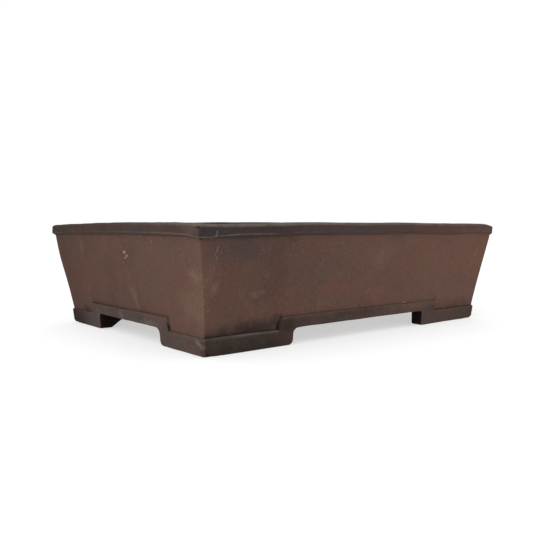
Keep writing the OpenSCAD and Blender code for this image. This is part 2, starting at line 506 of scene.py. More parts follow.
def make_wall(side):
    heights = wall_heights()
    outer = np.stack([wall_outside(heights), heights], axis=-1)
    inner = np.stack([wall_inside(heights), heights], axis=-1)
    grid = mitred(side, outer, inner, WALL_CORNER_R, INSIDE_CORNER_R - 3 * MM)
    s, z = along(side, grid), grid[..., 2]
    # The dirt and painted shade of the crease run along the strip, and past its ends along the feet
    first, last = strip_ends(side)
    gap = np.clip(z - np.where((s > first) & (s < last), band_top, foot_h), 0, 1)
    crease = 0.85 * np.exp(-gap / (0.8 * MM)) + 0.45 * np.exp(-gap / (3.5 * MM))
    edge = half_length(side) - wall_outside(z) - np.abs(s)
    wear = EDGE_WEAR[side] * np.exp(-np.clip(edge, 0, 1) / (4.5 * MM))
    outside = np.zeros(grid.shape[:3])
    outside[0] = 1
    block_piece(
        f"{side}_wall_slab", grid, f"{side}_wall", "wall_clay",
        crease=crease * read_along(CREASE[side], s) * outside, wear=wear * outside,
        tint=read_along(TINT["wall"][side], s),
    )


# ---- Rim ----

def make_rim_bar(side):
    cells, line_step = 9, 0.6 * MM
    face_bottom = pot_h - rim_face_h
    # The flat top isn't part of either line, because the block's cells run across it
    outer, wear = rounded([
        (rim_overhang - 0.1 * MM, wall_top, 0),
        (0, face_bottom, RIM_ARRIS_R),
        (0, pot_h, RIM_EDGE_R),
        (4 * MM, pot_h, 0),
    ], line_step)
    keep = (outer[:, 0] < RIM_EDGE_R + 0.01 * MM) | (outer[:, 1] < pot_h - 3 * MM)
    outer, wear = outer[keep], wear[keep]
    inside = wall_inside(wall_top)
    lip, _ = rounded([
        (inside, wall_top, 0), (inside, pot_h, RIM_LIP_R), (inside - 4 * MM, pot_h, 0),
    ], line_step)
    lip = lip[lip[:, 0] > inside - RIM_LIP_R - 0.01 * MM]
    inner = np.stack([np.interp(outer[:, 1], lip[:, 1], lip[:, 0]), outer[:, 1]], axis=-1)
    grid = mitred(side, outer, inner, RIM_CORNER_R, INSIDE_CORNER_R, cells)
    bevel = face_bottom - wall_top
    drop = np.clip(read_along(ARRIS_DROP[side], along(side, grid)) * MM, -bevel, 0.85 * bevel)
    near = np.interp(grid[..., 2], [wall_top, face_bottom, pot_h - 2 * MM], [0, 1, 0])
    grid[..., 2] -= drop * near * (1 - np.linspace(0, 1, cells + 1))[:, None, None]
    worn, arris, raw = (np.zeros(grid.shape[:3]) for _ in range(3))
    upper = outer[:, 1] > pot_h - 4 * MM
    s = along(side, grid)
    # Painted highlight on the rim's rounded top edge, and across its flat top
    worn[0] = np.where(upper, wear, 0)[:, None]
    worn[:, -1] = np.maximum(worn[:, -1], 0.7)
    worn *= read_along(RIM_TOP[side], s)
    arris[0] = np.where(upper, 0, wear)[:, None] * read_along(RIM_ARRIS[side], s[0])
    # The bevel under the rim's face is made darker, as painted shade
    raw[0] = np.clip((face_bottom - 0.1 * MM - outer[:, 1]) / (0.5 * MM), 0, 1)[:, None]
    block_piece(
        f"{side}_rim_slab", grid, f"{side}_rim_bar", "rim_clay",
        wear=worn, arris=arris, raw=raw, tint=read_along(TINT["rim"][side], s),
    )


# ---- Feet ----

def round_off(t, radius):
    """How far a round of this radius has fallen back at share t of the way to its end."""
    return radius * (1 - np.sqrt(1 - np.clip(t, 0, 1) ** 2))


def leg_end(z, arch_r, toe_r):
    """How far a leg's end stands beyond its nominal reach at each height."""
    return round_off((z - (foot_h - arch_r)) / arch_r, arch_r) - round_off((toe_r - z) / toe_r, toe_r)


def foot_heights(arch_r, toe_r, edge_r):
    """Heights of a foot's points, closer together at its arches, toes and edges."""
    turn = np.linspace(0, math.pi / 2, 8)
    levels = np.concatenate([
        toe_r * (1 - np.cos(turn)), foot_h - arch_r + arch_r * np.sin(turn),
        edge_r * (1 - np.cos(turn[::2])), foot_h - edge_r + edge_r * np.sin(turn[::2]),
    ])
    levels = np.unique(np.round(np.clip(levels, 0, foot_h), 6))
    keep = np.concatenate([[True], np.diff(levels) > 0.06 * MM])
    keep[-1] = True
    return levels[keep]


def edge_inset(z, low, high, r_low, r_high):
    """Inset of a face near its rounded lower and upper edges."""
    return round_off((low + r_low - z) / r_low, r_low) + round_off((z - high + r_high) / r_high, r_high)


def beside_strip(side, s):
    """1 where the side's band strip leaves the foot's upper edge bare, and 0 below the strip."""
    first, last = strip_ends(side)
    return np.clip(np.maximum(first - s, s - last) / (2 * MM), 0, 1)


def lap_end(side, corner):
    """Distance from the pot's corner to the end of the side's band strip."""
    first, last = strip_ends(side)
    return half_length(side) - (last if CORNERS[corner][0] == side else -first)


def make_leg(corner, side, z, share, back_off):
    """Grid of one leg as distances from the corner, along the leg and inwards from the rim, and
    the distance of its outer face."""
    foot = {name: size * MM for name, size in FEET[corner].items()}
    foot_inside = base_outside(foot_h) + foot_t
    reach = foot_reach[kind(side)] + foot[kind(side)] + leg_end(z, foot["arch"], foot["toe"])
    t = np.linspace(0, 1, round(foot_reach[kind(side)] / STEP) + 1)
    face = base_outside(z)
    p_corner = face + foot["corner"]
    p = (reach - back_off) * (1 - t) + p_corner * t
    ledge = np.clip((lap_end(side, corner) - p) / (2.5 * MM), 0, 1)
    top_r = SEAM_R + (FOOT_EDGE_R - SEAM_R) * ledge
    near_corner = np.exp(-((p - p_corner) / (9 * MM)) ** 2)
    sole_r = SOLE_EDGE_R + (foot["sole"] - SOLE_EDGE_R) * near_corner
    outer = face + edge_inset(z, 0, foot_h, sole_r, top_r)
    inner = foot_inside - edge_inset(z, 0, foot_h, SOLE_EDGE_R, SEAM_R)
    # The inner face leaves the leg for the web, and ends just short of half way across it
    web_start = foot_inside + WEB[kind(side)]
    other = "short" if kind(side) == "long" else "long"
    half_web = 1 / (1 / WEB[kind(side)] + 1 / WEB[other])
    f = 0.985 * np.clip((web_start - p) / (web_start - p_corner), 0, 1)
    inner_p = np.maximum(p, web_start) + f * (foot_inside + half_web - web_start)
    inner_u = inner + f * half_web
    run, inwards = p * (1 - share) + inner_p * share, outer * (1 - share) + inner_u * share
    return run, inwards, outer


def make_foot(corner, first_side, last_side):
    foot = FEET[corner]
    heights = foot_heights(foot["arch"] * MM, foot["toe"] * MM, FOOT_EDGE_R)
    turn = np.linspace(0, math.pi / 2, 5)
    inset, setback = FOOT_END_R * (1 - np.cos(turn)), FOOT_END_R * (1 - np.sin(turn))
    inwards = np.concatenate([
        inset, np.linspace(FOOT_END_R, foot_t - FOOT_END_R, 6)[1:-1], foot_t - inset[::-1],
    ])
    back_off = np.concatenate([setback, np.zeros(4), setback[::-1]])[:, None, None]
    z = heights[None, :, None]
    share = (inwards / foot_t)[:, None, None]
    first_p, first_u, face = make_leg(corner, first_side, z, share, back_off)
    last_p, last_u, _ = make_leg(corner, last_side, z, share, back_off)
    first_s = half_length(first_side) - first_p
    last_s = last_p - half_length(last_side)
    # Columns round the corner: an arc outside, drawn together to a short line at the web
    radius = foot["corner"] * MM
    theta = np.linspace(0, math.pi / 2, 2 * ARC_STEPS + 1)[1:-1]
    face = face[..., -1:]
    outer_p, outer_u = face + radius * (1 - np.sin(theta)), face + radius * (1 - np.cos(theta))
    t = theta / (math.pi / 2)
    inner_p = first_p[-1:, :, -1:] * (1 - t) + last_u[-1:, :, -1:] * t
    inner_u = first_u[-1:, :, -1:] * (1 - t) + last_p[-1:, :, -1:] * t
    arc_p = outer_p * (1 - share) + inner_p * share
    arc_u = outer_u * (1 - share) + inner_u * share
    grid = np.concatenate([
        place(first_side, first_s, first_u, z),
        place(first_side, half_length(first_side) - arc_p, arc_u, z),
        place(last_side, last_s[..., ::-1], last_u[..., ::-1], z),
    ], axis=2)
    shape = grid.shape[:3]
    worn, under = np.zeros(shape), np.zeros(shape)
    # A painted highlight along the foot's upper edge
    worn[0] = np.exp(-((foot_h - FOOT_EDGE_R * 0.3 - heights) / (1.0 * MM)) ** 2)[:, None]
    # Painted shade on faces that look away from the light: the ends of the legs, the inside of the foot
    # and the sole
    under[3:, :, 0] = under[3:, :, -1] = 0.9
    under[-1] = 1
    under[1:, 0] = 1

    def read_round(tables):
        at_corner = read_along(tables[first_side], half_length(first_side))
        return np.concatenate([
            read_along(tables[first_side], first_s), np.broadcast_to(at_corner, arc_p.shape),
            read_along(tables[last_side], last_s[..., ::-1]),
        ], axis=2)

    bare = np.concatenate([
        beside_strip(first_side, first_s), np.ones(arc_p.shape),
        beside_strip(last_side, last_s[..., ::-1]),
    ], axis=2)
    block_piece(
        f"{corner}_foot_slab", grid, f"{corner}_foot", "foot_clay",
        wear=worn * bare * read_round(BASE_WEAR), under=under, tint=read_round(TINT["base"]),
    )


# ---- Base band ----

def make_band(side):
    first, last = strip_ends(side)
    turn = np.linspace(0, math.pi / 2, 6)
    heights = np.concatenate([
        foot_h + BAND_EDGE_R * (1 - np.cos(turn)),
        np.linspace(foot_h + BAND_EDGE_R, band_top - BAND_EDGE_R, 7)[1:-1],
        band_top - BAND_EDGE_R + BAND_EDGE_R * np.sin(turn),
    ])
    z = heights[None, :, None]
    share = np.array([0, 0.25, 0.6, 1])[:, None, None]
    shoulder = round_off((z - (band_top - BAND_END_R)) / BAND_END_R, BAND_END_R)
    set_back = 0.7 * MM * (1 - share) ** 2 + shoulder
    t = np.linspace(0, 1, round(2 * band_end[kind(side)] / STEP) + 1)
    s = (first + set_back) * (1 - t) + (last - set_back) * t
    fade = 4 * MM
    bare = np.clip((s + leg_tip(side, 0)) / fade, 0, 1) * np.clip((leg_tip(side, 1) - s) / fade, 0, 1)
    low_r = SEAM_R + (BAND_EDGE_R - SEAM_R) * bare
    outer = base_outside(z) + edge_inset(z, foot_h, band_top, low_r, BAND_EDGE_R)
    inner = wall_outside(z) + 0.25 * MM
    u = outer * (1 - share) + inner * share
    grid = place(side, s, u, z + 0 * s)
    worn, under = np.zeros(grid.shape[:3]), np.zeros(grid.shape[:3])
    # A painted highlight along the strip's upper edge
    worn[0] = np.exp(-((band_top - BAND_EDGE_R * 0.4 - heights) / (0.6 * MM)) ** 2)[:, None]
    worn *= read_along(BASE_WEAR[side], along(side, grid))
    # Painted shade on the strip's hidden underside
    under[1:, 0] = 1
    block_piece(
        f"{side}_band_strip", grid, f"{side}_band", "band_clay",
        wear=worn, under=under, tint=read_along(TINT["base"][side], along(side, grid)),
    )


def leg_tip(side, end):
    """Distance from the side's middle to the arch of the leg at its first (0) or last (1) end."""
    for corner, sides in CORNERS.items():
        if sides[1 - end] == side:
            foot = FEET[corner]
            return half_length(side) - foot_reach[kind(side)] - (foot[kind(side)] + foot["arch"]) * MM


# ---- Inside seams ----

def make_floor_coil(side):
    """A coil with a hollow face, smoothed along the seam of the wall and the floor."""
    turn = np.linspace(math.pi / 2, 0.06, 13)
    heights = np.append(floor_top - 0.5 * MM, floor_top + coil_leg * (1 - np.sin(turn)))
    hollow = np.append(coil_leg, coil_leg * (1 - np.cos(turn)))
    seam = wall_inside(heights)
    outer = np.stack([seam - 0.3 * MM, heights], axis=-1)
    inner = np.stack([seam + hollow + 0.08 * MM, heights], axis=-1)
    grid = mitred(side, outer, inner, 4 * MM, INSIDE_CORNER_R - hollow, cells=2)
    block_piece(f"{side}_floor_seam", grid, f"{side}_floor_coil", "seam_clay", tint=1)


def make_corner_coil(corner, sx, sy):
    """A coil with a hollow face, smoothed up the seam between two walls."""
    z = np.linspace(floor_top + 0.5 * MM, wall_top - 0.05 * MM, 50)[None, :, None]
    turn = np.linspace(0, math.pi / 2, 15)[None, None, :]
    front_a, front_b = INSIDE_CORNER_R * (1 - np.sin(turn)), INSIDE_CORNER_R * (1 - np.cos(turn))
    back_a, back_b = np.clip(front_a - front_b, 0, None), np.clip(front_b - front_a, 0, None)
    front = np.array([0.0, 1.0])[:, None, None]
    seam = wall_inside(z) - 0.2 * MM
    x = sx * (half_l - seam - front * (front_a + 0.28 * MM) - (1 - front) * back_a)
    y = sy * (half_w - seam - front * (front_b + 0.28 * MM) - (1 - front) * back_b)
    grid = np.stack(np.broadcast_arrays(x, y, z), axis=-1)
    if sx * sy > 0:
        grid = grid[:, :, ::-1]
    block_piece(f"{corner}_corner_seam", grid, f"{corner}_corner_coil", "seam_clay", tint=1)


# ---- Floor ----

def floor_holes():
    """(x, y, radius) of the drain holes and the tie wire holes."""
    holes = []
    for mount in frame["record"]["mounts"]:
        x, y, _ = mount["pos_m"]
        dims = mount["dims"]
        if mount["kind"] == "bore":
            holes.append((x, y, dims["r_mm"] * MM))
        if mount["kind"] == "bolt_pattern":
            dx, dy = dims["spacing_x_mm"] * MM / 2, dims["spacing_y_mm"] * MM / 2
            holes += [(x + i * dx, y + j * dy, dims["hole_r_mm"] * MM) for i in (-1, 1) for j in (-1, 1)]
    return holes


def ring(x, y, radius, count):
    """Points round a circle in plan."""
    turn = np.arange(count) * 2 * math.pi / count
    return np.stack([x + radius * np.cos(turn), y + radius * np.sin(turn)], axis=-1)


def hole_edge(r):
    """Rounding of the edges of a hole of this radius."""
    return min(HOLE_LIP, r / 3)


def floor_loops(holes):
    """Points round the floor's top, anticlockwise, and round the top of each hole."""
    inset = wall_inside(floor_top) - 0.2 * MM
    l, w = half_l - inset, half_w - inset
    corners = np.array([[-l, -w], [l, -w], [l, w], [-l, w]])
    sides = []
    for a, b in zip(corners, np.roll(corners, -1, axis=0)):
        count = round(np.linalg.norm(b - a) / FLOOR_CELL)
        sides.append(a + (b - a) * np.arange(count)[:, None] / count)
    loops = [np.concatenate(sides)]
    for x, y, r in holes:
        count = max(24, round(2 * math.pi * r / (1.8 * MM)))
        loops.append(ring(x, y, r + hole_edge(r), count))
    return loops


def floor_plan(loops, holes):
    """Points of the floor seen from above, the loops' first, and the triangles between them."""
    rng = np.random.default_rng(12)
    limit = loops[0].max(0) - FLOOR_CELL * 0.7
    xs = np.arange(-limit[0], limit[0], FLOOR_CELL)
    ys = np.arange(-limit[1], limit[1], FLOOR_CELL)
    inner = np.stack(np.meshgrid(xs, ys), axis=-1).reshape(-1, 2)
    inner += rng.uniform(-0.25, 0.25, inner.shape) * FLOOR_CELL
    for x, y, r in holes:
        inner = inner[np.hypot(inner[:, 0] - x, inner[:, 1] - y) > r + HOLE_LIP + FLOOR_CELL * 0.6]
    flat = np.concatenate(loops + [inner])
    edges, start = [], 0
    for loop in loops:
        n = len(loop)
        edges += [(start + i, start + (i + 1) % n) for i in range(n)]
        start += n
    made = delaunay_2d_cdt([Vector(p) for p in flat], edges, [], 0, 1e-7)
    origin = [ids[0] for ids in made[3]]
    tris = np.array([[origin[i] for i in f] for f in made[2]])
    middle = flat[tris].mean(axis=1)
    keep = np.ones(len(tris), bool)
    for x, y, r in holes:
        keep &= np.hypot(middle[:, 0] - x, middle[:, 1] - y) > r
    return flat, tris[keep]


def hole_levels(r):
    """(radius, height) of the rings down a hole, between its rounded upper and lower edges."""
    edge = hole_edge(r)
    turn = np.linspace(0, math.pi / 2, 6)[1:]
    levels = [(r + edge * (1 - math.sin(t)), floor_top - edge * (1 - math.cos(t))) for t in turn]
    levels.append((r, (floor_top + foot_h) / 2))
    return levels + [(q, floor_top + foot_h - z) for q, z in levels[-2::-1]]


def make_floor():
    holes = floor_holes()
    loops = floor_loops(holes)
    flat, tris = floor_plan(loops, holes)
    total = len(flat)
    top = np.column_stack([flat, np.full(total, floor_top)])
    bottom = np.column_stack([flat, np.full(total, foot_h)])
    widen = wall_inside(foot_h) - wall_inside(floor_top)
    bottom[: len(loops[0]), :2] *= 1 - widen / np.abs(loops[0]).max(0)
    points, faces = [top, bottom], tris.tolist() + (tris[:, ::-1] + total).tolist()
    count, start = 2 * total, 0
    for number, loop in enumerate(loops):
        n = len(loop)
        rows = [np.arange(start, start + n)]
        if number:
            x, y, r = holes[number - 1]
            for q, z in hole_levels(r):
                points.append(np.column_stack([ring(x, y, q, n), np.full(n, z)]))
                rows.append(np.arange(count, count + n))
                count += n
        rows.append(np.arange(total + start, total + start + n))
        if not number:
            rows.reverse()
        for a, b in zip(rows, rows[1:]):
            faces += np.column_stack([a, np.roll(a, -1), np.roll(b, -1), b]).tolist()
        start += n
    points = np.concatenate(points)
    wiped = ripple(points * [1, 1, 0], 21, 14 * MM, 45 * MM, 0.35 * MM, 30)
    points[:, 2] += wiped[:, 2]
    depth = (floor_top - points[:, 2]) / (floor_top - foot_h)
    # The floor's underside and the lower half of its holes are painted dark as shade
    marks = {"under": np.clip(depth * 2 - 1, 0, 1), "tint": np.ones(len(points))}
    mesh_piece("floor_slab_clay", bend(points), faces, "floor_slab", "floor_clay", marks)


# ---- Clay ----

def tone(red, green, blue):
    """A colour given in sRGB steps of 0 to 255, as linear light."""
    def linear(v):
        v /= 255
        return v / 12.92 if v <= 0.04045 else ((v + 0.055) / 1.055) ** 2.4
    return (linear(red), linear(green), linear(blue), 1)


class Graph:
    """One procedural material, built node by node over the pot's own coordinates."""

    def __init__(self, name):
        self.material = bpy.data.materials.new(name)
        self.material.use_nodes = True
        self.tree = self.material.node_tree
        self.tree.nodes.clear()
        self.place = self.add("ShaderNodeTexCoord").outputs["Object"]

    def add(self, kind_of_node, inputs=None, **settings):
        node = self.tree.nodes.new(kind_of_node)
        for name, value in settings.items():
            setattr(node, name, value)
        for key, value in (inputs or {}).items():
            if isinstance(value, bpy.types.NodeSocket):
                self.tree.links.new(value, node.inputs[key])
            else:
                node.inputs[key].default_value = value
        return node

    def noise(self, size, detail=2, rough=0.5, distort=0.0, stretch=(1, 1, 1), out="Fac"):
        """Soft random patches about size long, from 0 to 1 round 0.5."""
        place = self.place
        if stretch != (1, 1, 1):
            place = self.add("ShaderNodeMapping", {"Vector": place, "Scale": stretch}).outputs[0]
        inputs = {"Scale": 1 / size, "Detail": detail, "Roughness": rough, "Distortion": distort}
        return self.add("ShaderNodeTexNoise", {"Vector": place, **inputs}).outputs[out]

    def math(self, operation, a, b=0.0):
        return self.add("ShaderNodeMath", {0: a, 1: b}, operation=operation).outputs[0]

    def times(self, a, b):
        return self.math("MULTIPLY", a, b)

    def vector_math(self, operation, a, b=(0, 0, 0)):
        return self.add("ShaderNodeVectorMath", {0: a, 1: b}, operation=operation).outputs

    def span(self, value, low, high, to_low=0.0, to_high=1.0):
        """value from low to high, eased to the range from to_low to to_high."""
        inputs = {"Value": value, "From Min": low, "From Max": high, "To Min": to_low, "To Max": to_high}
        return self.add("ShaderNodeMapRange", inputs, interpolation_type="SMOOTHSTEP").outputs[0]

    def mix(self, share, a, b, blend="MIX"):
        node = self.add("ShaderNodeMix", {0: share, 6: a, 7: b}, data_type="RGBA", blend_type=blend)
        return node.outputs[2]

    def attribute(self, name):
        return self.add("ShaderNodeAttribute", attribute_name=name).outputs["Fac"]

    def grey(self, value):
        return self.add("ShaderNodeCombineColor", {0: value, 1: value, 2: value}).outputs[0]

    def specks(self, spacing, size, share):
        """Scattered grains: 1 on a grain and 0 between. share of the cells hold one."""
        cells = self.add("ShaderNodeTexVoronoi", {"Vector": self.place, "Scale": 1 / spacing})
        chance = self.add("ShaderNodeSeparateColor", {0: cells.outputs["Color"]}).outputs[0]
        dot = self.span(cells.outputs["Distance"], 0.3 * size / spacing, 0.6 * size / spacing, 1, 0)
        return self.times(dot, self.math("GREATER_THAN", chance, 1 - share))

    def ragged(self, size, shift):
        """The place, moved at random by up to about shift, in patches of the size."""
        swirl = self.noise(size, 3, 0.6, out="Color")
        moved = self.vector_math("SUBTRACT", swirl, (0.5, 0.5, 0.5))[0]
        scaled = self.add("ShaderNodeVectorMath", {0: moved, 3: 4 * shift}, operation="SCALE").outputs[0]
        return self.vector_math("ADD", self.place, scaled)[0]

    def mark(self, where, soft, side, s, z, long, high, strength, tilt=0):
        """A spot on a side, as in the lists of marks. It is strength in its middle and 0 outside."""
        face = 0 if z * MM > wall_top else wall_outside(z * MM)
        depth = 5
        turn = math.radians(tilt if side in ("front", "right") else -tilt)
        on_long = kind(side) == "long"
        size = (long, depth, high) if on_long else (depth, long, high)
        inputs = {
            "Vector": where, "Location": tuple(place(side, s * MM, face, z * MM)),
            "Rotation": (0, -turn, 0) if on_long else (turn, 0, 0),
            "Scale": tuple(v * MM for v in size),
        }
        local = self.add("ShaderNodeMapping", inputs, vector_type="TEXTURE").outputs[0]
        away = self.vector_math("LENGTH", local)["Value"]
        return self.span(away, 1 - soft, 1 + soft * 0.3, strength, 0)

    def marks(self, where, spots, soft):
        """The strongest of the spots at each place."""
        found = [self.mark(where, soft, *spot) for spot in spots]
        total = found[0]
        for spot in found[1:]:
            total = self.math("MAXIMUM", total, spot)
        return total


# Colours of one clay, in sRGB steps. red and olive cloud the whole of it. The darkest colours also
# serve as painted shade in creases, above the feet, under the rim and on hidden faces, and the pale
# worn colours as wear and, on the rim and the base, as painted highlight.
WALL = {
    "red": (92, 66, 57), "olive": (90, 68, 58), "rust": (99, 67, 57), "moss": (86, 69, 56),
    "sand": (112, 87, 76), "smoke": (52, 42, 38), "ash": (73, 62, 59), "crease": (28, 21, 17),
    "worn": (114, 86, 72), "chalk": (168, 136, 122), "scratch": (128, 114, 108), "under": (34, 25, 22),
}
RIM = {
    "red": (74, 54, 49), "olive": (66, 54, 50), "rust": (76, 50, 44), "moss": (62, 55, 47),
    "sand": (88, 72, 66), "smoke": (52, 46, 46), "ash": (62, 59, 60), "crease": (26, 20, 16),
    "worn": (116, 105, 99), "scratch": (128, 120, 120), "under": (34, 25, 22),
}
BASE = {
    "red": (76, 59, 54), "olive": (70, 60, 54), "rust": (90, 68, 59), "moss": (68, 58, 48),
    "sand": (102, 86, 78), "smoke": (34, 29, 26), "ash": (70, 64, 62), "crease": (18, 13, 11),
    "worn": (104, 92, 82), "chalk": (118, 106, 96), "under": (8, 3, 2),
}
RAW = (74, 55, 48)   # the wall's clay on the bevel under the rim, darkened as painted shade
INSIDE = {
    "red": (106, 77, 66), "olive": (98, 78, 67), "sand": (126, 99, 84), "smoke": (74, 60, 53),
    "crease": (48, 37, 32), "worn": (128, 101, 85), "under": (60, 46, 40),
}
# Marks of making, firing and use, by clay and by colour. Each is a side, the distance along it from
# its middle (anticlockwise), a height, a half length and a half height in mm, a strength and, where
# it has one, a tilt in degrees.
WALL_MARKS = {
    "rust": [
        ("front", -41, 47, 24, 10, 0.8), ("front", -181, 37, 4, 10, 0.5),
        ("front", 130, 66, 70, 24, 0.4), ("left", -85, 55, 60, 40, 0.65),
        ("right", 20, 50, 60, 30, 0.5), ("back", -70, 45, 70, 28, 0.5),
    ],
    "moss": [
        ("left", 55, 50, 34, 12, 0.6), ("back", 90, 60, 60, 25, 0.6), ("right", -80, 70, 40, 15, 0.5),
    ],
    "sand": [
        ("left", -76, 80, 3.5, 12, 0.5), ("left", -74, 39, 3, 7, 0.45), ("left", -74, 27, 4, 6, 0.3),
        ("left", 12, 60, 3, 9, 0.3, 15), ("left", 17, 37, 6, 14, 0.55, 25),
        ("left", 120, 62, 10, 9, 0.7), ("left", 112, 40, 22, 24, 0.4),
        ("front", -171, 52, 4.5, 8, 0.75, -30), ("front", -176, 64, 6, 14, 0.35),
        ("front", -129, 47, 10, 3, 0.5, -8), ("front", -119, 61, 3, 3, 0.3),
        ("front", 3, 41, 5, 3, 0.35, 20), ("front", 16, 76, 22, 18, 0.25),
        ("right", -30, 60, 4, 14, 0.4, 8), ("right", 60, 35, 12, 6, 0.35, 15),
        ("back", -120, 66, 5, 16, 0.4, -12), ("back", 30, 40, 14, 5, 0.35, 10),
        ("back", 120, 74, 6, 10, 0.4, 20),
    ],
    "ash": [
        ("front", -150, 84, 42, 17, 0.85), ("front", -140, 89, 60, 7, 0.8),
        ("front", -80, 60, 75, 36, 0.3), ("left", 95, 90, 22, 5, 0.4), ("right", 60, 80, 50, 14, 0.5),
        ("back", 80, 82, 70, 12, 0.5),
    ],
    # Kiln smoke, and painted shade on the walls just above the feet and just under the rim
    "smoke": [
        ("front", -137, 17, 48, 11, 1, 3), ("front", -166, 15, 9, 4, 0.6),
        ("front", -106, 20, 9, 11, 0.85), ("front", -120, 91, 70, 3, 0.4),
        ("front", 150, 18, 44, 6, 0.35), ("left", -88, 17, 9, 5, 0.7), ("left", 0, 91, 130, 2.5, 0.4),
        ("right", 100, 86, 40, 9, 0.4), ("back", -150, 22, 40, 12, 0.5),
    ],
    "chalk": [
        ("left", 10.5, 77, 2.6, 1.7, 0.6), ("left", 14, 73.8, 2.2, 1.4, 0.6),
        ("left", 11, 72, 2, 0.8, 0.4), ("left", 62, 87.4, 0.9, 0.6, 0.6),
        ("front", -173.7, 36, 0.55, 0.5, 0.6), ("front", 57.7, 25.7, 3, 0.7, 0.3, 5),
        ("back", 60, 70, 2, 1.6, 0.6), ("right", -64, 44, 1.4, 1, 0.6),
    ],
    # Dark cuts and joints, and painted shade in pits, at the strips' ends and under the rim
    "crease": [
        ("front", 106.5, 22, 0.5, 7, 0.6), ("left", 68.9, 19, 1.1, 7, 0.9),
        ("left", 70.4, 15.5, 1.8, 2.6, 0.9), ("front", -101.3, 17.5, 2.6, 6, 0.9),
        ("front", -187, 90.9, 4, 0.8, 0.95),
    ],
    "scratch": [
        ("front", -170.6, 83.4, 0.3, 3.6, 0.6, -18), ("front", -171.2, 77.6, 0.3, 4, 0.5, 32),
        ("front", -94, 84, 0.3, 5, 0.25, 4),
    ],
}
RIM_MARKS = {
    "rust": [("left", -126, 98, 30, 5, 0.6), ("front", 110, 97, 80, 6, 0.6)],
    "moss": [("left", 104, 96, 16, 3, 0.6)],
    "sand": [("front", 150, 95, 40, 2, 0.4), ("left", 125, 99, 14, 5, 0.5)],
    "ash": [
        ("front", -165, 96, 60, 9, 0.9), ("front", -60, 96, 110, 9, 0.6), ("left", 40, 98, 50, 6, 0.4),
    ],
    "smoke": [
        ("left", -20, 97, 14, 4, 0.5), ("left", -110, 96, 14, 4, 0.4), ("back", -60, 97, 70, 8, 0.8),
        ("right", 80, 97, 50, 8, 0.7),
    ],
    # Dark lines, and painted shade under the rim's face and in a notch at its corner
    "crease": [
        ("front", -187, 90.9, 4, 0.8, 0.95), ("front", -189.4, 99.6, 1.5, 0.8, 0.9),
        ("front", 56, 94.2, 24, 0.35, 0.5),
    ],
    "scratch": [
        ("front", -173.4, 95.9, 0.35, 1.8, 0.7), ("front", -173.9, 93.9, 0.35, 1.2, 0.7, 40),
        ("front", -175, 93.1, 1, 0.3, 0.7),
    ],
}
BASE_MARKS = {
    "chalk": [("left", 114.5, 10.3, 6.5, 2.6, 0.5, -26), ("left", 118, 8, 2.6, 3.4, 0.4)],
    "rust": [
        ("front", 78, 23, 52, 6, 0.95), ("front", -50, 25, 42, 4, 0.8), ("left", 40, 24, 40, 2, 0.5),
    ],
    "moss": [("front", -92, 16, 9, 9, 0.7)],
    "ash": [("left", 0, 14, 90, 14, 0.5), ("front", -165, 8, 12, 8, 0.6)],
    "sand": [
        ("left", -60, 18, 3.5, 8, 0.75, 25), ("left", -10, 19, 5, 5, 0.6),
        ("left", 38, 18, 20, 4, 0.55), ("right", 40, 8, 10, 5, 0.4, 20),
        ("back", -110, 10, 16, 5, 0.4, -10),
    ],
    # Darker patches, the lower part of the front foot among them
    "smoke": [
        ("front", -140, 3, 52, 10, 0.6), ("front", -90, 20, 9, 7, 0.4), ("back", 120, 8, 40, 8, 0.5),
        ("right", -100, 8, 30, 8, 0.6), ("front", -20, 22, 40, 6, 0.3),
    ],
    # Painted shade in pits, and dark joints at the strips' ends
    "crease": [
        ("left", 105.7, 8.7, 1.1, 0.8, 0.95), ("front", -171.5, 1.5, 2, 1.8, 0.9),
        ("front", -100.8, 21, 0.9, 4, 0.5), ("left", 70, 17.5, 1.2, 5, 0.9),
    ],
}


